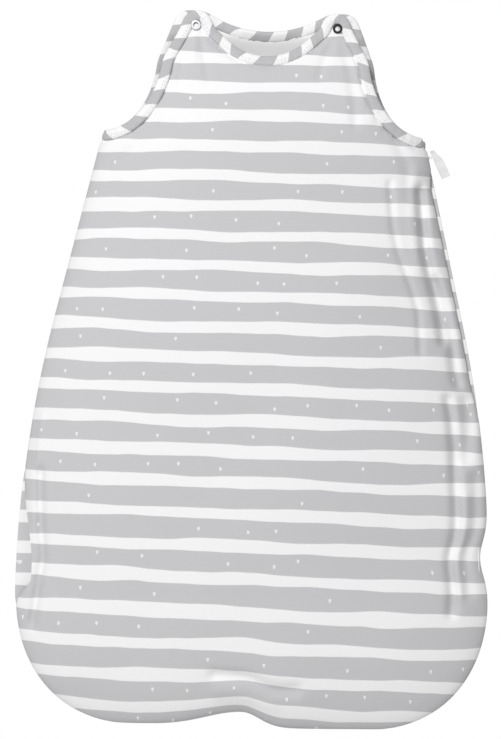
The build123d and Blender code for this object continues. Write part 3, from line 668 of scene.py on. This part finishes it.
class Graph:
    """Builds a procedural material one node at a time."""

    def __init__(self, name, roughness, sheen=0.0, metallic=0.0):
        self.material = bpy.data.materials.new(name)
        self.material.use_nodes = True
        self.tree = self.material.node_tree
        self.shader = self.tree.nodes["Principled BSDF"]
        self.set(roughness, "Roughness")
        self.set(metallic, "Metallic")
        if sheen:
            self.set(sheen, "Sheen Weight")
            self.set(0.5, "Sheen Roughness")

    def set(self, value, socket):
        self.put(value, self.shader.inputs[socket])

    def put(self, value, socket):
        if isinstance(value, bpy.types.NodeSocket):
            self.tree.links.new(value, socket)
        else:
            socket.default_value = value

    def node(self, kind, **options):
        made = self.tree.nodes.new("ShaderNode" + kind)
        for key, value in options.items():
            setattr(made, key, value)
        return made

    def math(self, operation, *values, clamp=False):
        made = self.node("Math", operation=operation, use_clamp=clamp)
        for value, socket in zip(values, made.inputs):
            self.put(value, socket)
        return made.outputs[0]

    def combine(self, *values):
        made = self.node("CombineXYZ")
        for value, socket in zip(values, made.inputs):
            self.put(value, socket)
        return made.outputs[0]

    def noise(self, vector, scale, detail=2.0, roughness=0.5):
        made = self.node("TexNoise")
        self.put(vector, made.inputs["Vector"])
        self.put(scale, made.inputs["Scale"])
        self.put(detail, made.inputs["Detail"])
        self.put(roughness, made.inputs["Roughness"])
        return made.outputs[0]

    def mix(self, share, first, second):
        made = self.node("Mix", data_type="RGBA")
        self.put(share, made.inputs[0])
        self.put(first, made.inputs[6])
        self.put(second, made.inputs[7])
        return made.outputs[2]

    def bump(self, height, strength, distance):
        made = self.node("Bump")
        self.put(strength, made.inputs["Strength"])
        self.put(distance, made.inputs["Distance"])
        self.put(height, made.inputs["Height"])
        self.set(made.outputs[0], "Normal")

    def cloth(self):
        """Flat pattern coordinates carried by the mesh."""
        vector = self.node("Attribute", attribute_name="cloth").outputs["Vector"]
        parts = self.node("SeparateXYZ")
        self.put(vector, parts.inputs[0])
        return vector, *parts.outputs

    def knit(self, across, up, pitch, strength):
        """Fine knitted ribs with some unevenness."""
        wales = self.math("SINE", self.math("MULTIPLY", across, 2 * pi / pitch))
        courses = self.math("SINE", self.math("MULTIPLY", up, 2 * pi / (0.8 * pitch)))
        ribs = self.math("MULTIPLY", wales, courses)
        uneven = self.noise(self.combine(across, up, 0.0), 260.0, 3.0)
        self.bump(self.math("MULTIPLY_ADD", ribs, 0.35, uneven), strength, 0.0004)


GREY = (0.578, 0.578, 0.590, 1)
DARKER_GREY = (0.553, 0.553, 0.566, 1)
BINDING_GREY = (0.50, 0.50, 0.512, 1)
WHITE = (0.900, 0.900, 0.902, 1)
MOTIF = (0.82, 0.82, 0.815, 1)


def striped_jersey():
    """Wavy grey stripes on white, with small light hearts on the grey."""
    g = Graph("striped_jersey", 0.88, sheen=0.18)
    vector, across, up, panel = g.cloth()
    stripe = g.math("DIVIDE", g.math("SUBTRACT", TOP_STRIPE_Z, up), STRIPE_PITCH)
    index = g.math("ROUND", stripe)
    offset = g.math("SUBTRACT", stripe, index)
    masks = []
    seed = g.math("MULTIPLY_ADD", panel, 41.0, g.math("MULTIPLY", index, 7.7))
    for edge, sign in ((0.0, 1.0), (3.7, -1.0)):
        spot = g.combine(g.math("MULTIPLY", across, 10.5), seed, edge)
        wander = g.math("MULTIPLY", g.math("SUBTRACT", g.noise(spot, 1.0, 2.5, 0.42), 0.5), WAVINESS)
        limit = g.math("ADD", wander, GREY_HALF_SHARE)
        gap = g.math("MULTIPLY_ADD", offset, sign, limit)
        masks.append(g.math("MULTIPLY_ADD", gap, STRIPE_EDGE, 0.5, clamp=True))
    grey = g.math("MULTIPLY", *masks)

    # small hearts, at most one in each cell of a grid that shifts from stripe to stripe
    slot = g.math("MULTIPLY_ADD", index, 0.39, g.math("DIVIDE", across, HEART_CELL_WIDTH))
    cell = g.math("FLOOR", slot)
    dice = g.node("TexWhiteNoise", noise_dimensions="3D")
    g.put(g.combine(cell, index, panel), dice.inputs["Vector"])
    rolls = g.node("SeparateColor")
    g.put(dice.outputs["Color"], rolls.inputs[0])
    chosen = g.math("GREATER_THAN", rolls.outputs[0], 1 - HEART_SHARE)
    middle = g.math("SUBTRACT", g.math("SUBTRACT", slot, cell), 0.5)
    side = g.math("MULTIPLY_ADD", rolls.outputs[1], 0.5, g.math("ADD", middle, -0.25))
    heart_x = g.math("DIVIDE", side, HEART_HALF_WIDTH / HEART_CELL_WIDTH)
    rise = g.math("MULTIPLY_ADD", rolls.outputs[2], 0.24, g.math("SUBTRACT", -0.12, offset))
    heart_y = g.math("DIVIDE", rise, HEART_HALF_HEIGHT / STRIPE_PITCH)
    x2 = g.math("MULTIPLY", heart_x, heart_x)
    y2 = g.math("MULTIPLY", heart_y, heart_y)
    ball = g.math("ADD", g.math("ADD", x2, y2), -1.0)
    cubed = g.math("MULTIPLY", g.math("MULTIPLY", ball, ball), ball)
    notch = g.math("MULTIPLY", x2, g.math("MULTIPLY", y2, heart_y))
    heart = g.math("LESS_THAN", g.math("SUBTRACT", cubed, notch), 0.0)
    motif = g.math("MULTIPLY", g.math("MULTIPLY", heart, chosen), grey)

    tone = g.noise(vector, 9.0, 3.0)
    uneven_grey = g.mix(tone, DARKER_GREY, GREY)
    color = g.mix(grey, WHITE, uneven_grey)
    g.set(g.mix(motif, color, MOTIF), "Base Color")
    g.knit(across, up, 0.0011, 0.22)
    return g.material


def binding_jersey():
    """Blocks of grey and white along a binding: the same cloth cut on the slant."""
    g = Graph("binding_jersey", 0.88, sheen=0.18)
    _, along, over, seed = g.cloth()
    wander = g.noise(g.combine(g.math("MULTIPLY", along, 26.0), seed, 0.0), 1.0, 2.0)
    shifted = g.math("MULTIPLY_ADD", wander, 0.020, g.math("MULTIPLY_ADD", over, 0.7, along))
    share = g.math("FRACT", g.math("DIVIDE", g.math("ADD", shifted, seed), BLOCK_PITCH))
    block = g.math("SUBTRACT", BLOCK_HALF_SHARE, g.math("ABSOLUTE", g.math("SUBTRACT", share, 0.5)))
    grey = g.math("MULTIPLY_ADD", block, BLOCK_EDGE, 0.5, clamp=True)
    g.set(g.mix(grey, WHITE, BINDING_GREY), "Base Color")
    g.knit(along, over, 0.0011, 0.25)
    return g.material


def plain_knit(name, color, pitch):
    g = Graph(name, 0.9, sheen=0.15)
    vector, across, up, _ = g.cloth()
    tone = g.noise(vector, 14.0, 2.0)
    darker = tuple(0.955 * c for c in color[:3]) + (1,)
    g.set(g.mix(tone, darker, color), "Base Color")
    g.knit(across, up, pitch, 0.3)
    return g.material


def plain(name, color, roughness, metallic=0.0, grain=0.0):
    """One colour, slightly uneven, with a fine grain where asked."""
    g = Graph(name, roughness, metallic=metallic)
    spot = g.node("TexCoord").outputs["Object"]
    tone = g.noise(spot, 180.0, 3.0)
    darker = tuple(0.93 * c for c in color[:3]) + (1,)
    g.set(g.mix(tone, darker, color), "Base Color")
    if grain:
        g.bump(g.noise(spot, 900.0, 2.0), grain, 0.0002)
    return g.material


STRIPED = striped_jersey()
BINDING = binding_jersey()
LINING = plain_knit("lining_jersey", (0.97, 0.97, 0.965, 1), 0.0013)
RIBBON = plain_knit("ribbon", (0.80, 0.80, 0.80, 1), 0.0012)
TAPE = plain_knit("zip_tape", (0.90, 0.90, 0.90, 1), 0.0009)
THREAD = plain("thread", (0.66, 0.66, 0.67, 1), 0.7)
SNAP = plain("snap_metal", (0.70, 0.70, 0.71, 1), 0.34, metallic=1.0, grain=0.08)
# a near-black copy of the snap metal for the +X snap's ring: a painted dark reflection, not a finish of
# its own
SNAP_PAINTED_DARK_REFLECTION = plain("snap_painted_dark_reflection", (0.05, 0.05, 0.055, 1), 0.30, metallic=1.0, grain=0.08)
TEETH = plain("zip_teeth", (0.90, 0.90, 0.90, 1), 0.38)
ZIP_METAL = plain("zip_metal", (0.88, 0.88, 0.88, 1), 0.30, grain=0.05)
FLOOR = plain("floor", (0.93, 0.93, 0.93, 1), 0.9)

front = quilt("front_quilt", FRONT, outline_of(FRONT))
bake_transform(front)
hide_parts("front_outer_panel", "front_wadding", "front_lining")

back = quilt("back_quilt", BACK, outline_of(BACK))
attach(back, "back")
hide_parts("back_outer_panel", "back_wadding", "back_lining")


def split_front_edge(side):
    """The front edge's neck, tab and armhole parts, and the lengths at which the last two start."""
    edge = EDGES[FRONT, side]
    high = edge[:, 1] > TAB_CUT_Z
    first = int(np.argmax(high))
    last = len(edge) - 1 - int(np.argmax(high[::-1]))
    spacing = float(np.linalg.norm(edge[1] - edge[0]))
    return edge[:first + 1], edge[first:last + 1], edge[last:], first * spacing, last * spacing


def split_back_edge(side):
    """The back edge's neck part and armhole part, and the length at which the second starts."""
    edge = EDGES[BACK, side]
    first = int(np.argmax(edge[:, 0] > BACK_STRAP_MIDDLE_X))
    spacing = float(np.linalg.norm(edge[1] - edge[0]))
    return edge[:first + 1], edge[first:], first * spacing


def both_sides(neck_line):
    """A neck line from its -X end to its +X end."""
    return np.vstack([mirrored(neck_line[:0:-1]), neck_line])


# ---- shoulder tabs and bindings ----
for word, side in (("left", 1), ("right", -1)):
    _, tab_part, arm_part, tab_first, arm_first = split_front_edge(side)
    tip = inwards(EDGES[FRONT, side], EDGE_INSET)
    tip = tip[tip[:, 1] > TAB_CUT_Z]
    around = on_side(np.vstack([cut_line(side)[::-1], tip]), side)
    if side < 0:
        around = around[::-1]
    tab = quilt(f"shoulder_{word}_quilt", FRONT, np.column_stack([angle_of(*around.T), around[:, 1]]))
    tab_edge = binding(f"tab_{word}_binding", FRONT, side, tab_part, tab_first, FRONT_SEED)
    for piece in (tab, tab_edge):
        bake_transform(piece)
    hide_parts(f"shoulder_tab_{word}")
    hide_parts(f"tab_binding_{word}")

    arm_edge = binding(f"armhole_front_{word}_binding", FRONT, side, arm_part, arm_first, FRONT_SEED)
    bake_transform(arm_edge)
    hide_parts(f"armhole_binding_front_{word}")

    _, arm_part, arm_first = split_back_edge(side)
    back_arm = binding(f"armhole_back_{word}_binding", BACK, side, arm_part, arm_first, BACK_SEED)
    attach(back_arm, "back")
    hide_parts(f"armhole_binding_back_{word}")

neck_line = both_sides(split_front_edge(1)[0])
front_neck = binding("neck_front_binding", FRONT, 1, neck_line, 0.0, FRONT_SEED)
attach(front_neck, "front")
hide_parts("neck_binding_front")

neck_line = both_sides(split_back_edge(1)[0])
back_neck = binding("neck_back_binding", BACK, 1, neck_line, 0.0, BACK_SEED)
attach(back_neck, "back")
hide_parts("neck_binding_back")

# ---- zip tapes and guard: woven strips along the seam ----

def zip_line(depth):
    """The zip's line on the middle plane, from the top to the -X corner, inside the seam by a depth."""
    heights = np.concatenate([np.arange(ZIP_TOP_Z, 0.026, -ZIP_STEP), BOTTOM_ROWS[::-1]])
    edge = [(float(half_width(z)), z) for z in heights]
    edge += [(x, 0.0) for x in np.linspace(BASE_HALF_WIDTH, -BASE_HALF_WIDTH, 40)]
    rising = np.concatenate([BOTTOM_ROWS, np.arange(EVEN_ROWS_Z, ZIP_END_Z, ZIP_STEP)])
    edge += [(-float(half_width(z)), z) for z in rising]
    line = inwards(rounded(edge, ZIP_SPACING, 3), depth)
    return np.column_stack([line[:, 0], lifted_z(line[:, 0], line[:, 1])])


def strip(name, depth, near, far, thickness):
    """A flat woven strip along the zip, from one distance behind the middle plane to another."""
    line = zip_line(depth)
    up = inwards(line, thickness / 2) - line
    columns = np.linspace(near, far, 5)
    rings = []
    for (x, z), (dx, dz) in zip(line, up):
        outer = [(x - dx, y, z - dz) for y in columns]
        rings.append(outer + [(x + dx, y, z + dz) for y in columns[::-1]])
    rings = np.array(rings)
    length = np.arange(len(line)) * ZIP_SPACING
    cloth = np.stack(np.broadcast_arrays(rings[:, :, 1], length[:, None], 0.0), axis=2)
    made = new_object(name, rings.reshape(-1, 3), tube(rings), [TAPE], None, cloth.reshape(-1, 3))
    return made


for word, near, far in (("front", -TAPE_FAR, -TAPE_NEAR), ("back", TAPE_NEAR, TAPE_FAR)):
    tape = strip(f"zip_tape_{word}_cloth", TAPE_DEPTH, near, far, TAPE_THICKNESS)
    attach(tape, word)
    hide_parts(f"zip_tape_{word}")
guard = strip("zip_guard_cloth", GUARD_DEPTH, GUARD_FRONT, GUARD_BACK, GUARD_THICKNESS)
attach(guard, "back")
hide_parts("zip_guard")

# the teeth, drawn up with the bottom seam
for word in ("front", "back"):
    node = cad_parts[f"zip_teeth_{word}"]
    mesh = node.data.copy()
    points = np.array([v.co for v in mesh.vertices])
    points[:, 2] = lifted_z(points[:, 0], points[:, 2])
    mesh.vertices.foreach_set("co", points.ravel())
    mesh.materials.clear()
    mesh.materials.append(TEETH)
    teeth = bpy.data.objects.new(f"zip_teeth_{word}_row", mesh)
    bpy.context.scene.collection.objects.link(teeth)
    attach(teeth, word)
    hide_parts(f"zip_teeth_{word}")

# ---- the ribbon on the zip pull: a folded loop ----
ribbon_low, ribbon_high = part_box("zip_pull_ribbon")
ribbon_top = np.array([ribbon_low[0] - 0.0023, 0, ribbon_high[2] - 0.0010])
ribbon_down = np.array([sin(RIBBON_LEAN), 0, -cos(RIBBON_LEAN)])
ribbon_out = np.array([cos(RIBBON_LEAN), 0, sin(RIBBON_LEAN)])


def ribbon_ring(share):
    """Points round the ribbon at a share of its length: its front layer, then its back layer."""
    edge = ribbon_top + ribbon_down * (share * RIBBON_LENGTH)
    wave = 0.0007 * sin(5.5 * share) + 0.00025 * sin(17 * share)
    open_by = 0.00032 + 0.00035 * sin(pi * share) ** 2
    width = RIBBON_WIDTH * (0.45 + 0.55 * step(share, 0.0, 0.5))
    across = np.linspace(0, 1, RIBBON_COLUMNS)
    ring = []
    for layer, order in ((-1, across), (1, across[::-1])):
        for part in order:
            curl = 0.0006 * (part - 0.5) ** 2 * 4
            ring.append(edge + ribbon_out * (part * width)
                        + np.array([0, wave + layer * open_by - curl, 0]))
    return ring


rings = np.array([ribbon_ring(share) for share in np.linspace(0, 1, RIBBON_ROWS)])
ribbon_across = np.arange(2 * RIBBON_COLUMNS)[None, :] * 0.0015
ribbon_along = np.linspace(0, RIBBON_LENGTH, RIBBON_ROWS)[:, None]
ribbon_cloth = np.stack(np.broadcast_arrays(ribbon_across, ribbon_along, 0.0), axis=2)
ribbon = new_object("zip_ribbon", rings.reshape(-1, 3), tube(rings), [RIBBON], None,
                    ribbon_cloth.reshape(-1, 3))
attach(ribbon, "pull")
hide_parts("zip_pull_ribbon")

# ---- finishes of the CAD parts that stay in view; a later match wins ----
FINISHES = {
    "snap": SNAP,
    # the +X snap's ring gets the painted dark reflection
    "snap_ring_left": SNAP_PAINTED_DARK_REFLECTION,
    "stop": TEETH,
    "slider": ZIP_METAL,
    "pull_tab": ZIP_METAL,
}
for name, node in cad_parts.items():
    for word, material in FINISHES.items():
        if word in name:
            node.data.materials.clear()
            node.data.materials.append(material)

# ---- studio ----
bpy.ops.mesh.primitive_plane_add(size=FLOOR_SIZE, location=(0, 0, FLOOR_Z))
floor = bpy.context.object
floor.name = "floor"
floor.data.materials.append(FLOOR)

key_data = bpy.data.lights.new("key", "AREA")
key_data.shape = "DISK"
key_data.size = KEY_SIZE
key_data.energy = KEY_POWER
key = bpy.data.objects.new("key", key_data)
key.location = KEY_AT
key.rotation_euler = (KEY_AIM - key.location).to_track_quat("-Z", "Y").to_euler()
bpy.context.scene.collection.objects.link(key)

world = bpy.data.worlds.new("studio")
world.use_nodes = True
sky = world.node_tree.nodes
background = sky["Background"]
background.inputs["Color"].default_value = (1, 1, 1, 1)
ray = sky.new("ShaderNodeLightPath")
strength = sky.new("ShaderNodeMapRange")
strength.inputs["To Min"].default_value = SKY_STRENGTH
strength.inputs["To Max"].default_value = 1.0
world.node_tree.links.new(ray.outputs["Is Camera Ray"], strength.inputs["Value"])
world.node_tree.links.new(strength.outputs[0], background.inputs["Strength"])
bpy.context.scene.world = world
bpy.context.scene.view_settings.view_transform = "Standard"

camera_data = bpy.data.cameras.new("camera")
camera_data.sensor_fit = "HORIZONTAL"
camera_data.sensor_width = SENSOR_WIDTH
camera_data.lens = SENSOR_WIDTH * VIEW_DISTANCE / VIEW_WIDTH
camera = bpy.data.objects.new("camera", camera_data)
bpy.context.scene.collection.objects.link(camera)
camera_turn = Matrix(((cos(VIEW_ROLL), -sin(VIEW_ROLL), 0),
                      (0, 0, -1),
                      (sin(VIEW_ROLL), cos(VIEW_ROLL), 0)))
camera.matrix_world = (Matrix.Translation(VIEW_CENTRE - Vector((0, VIEW_DISTANCE, 0)))
                       @ camera_turn.to_4x4())
bpy.context.scene.camera = camera
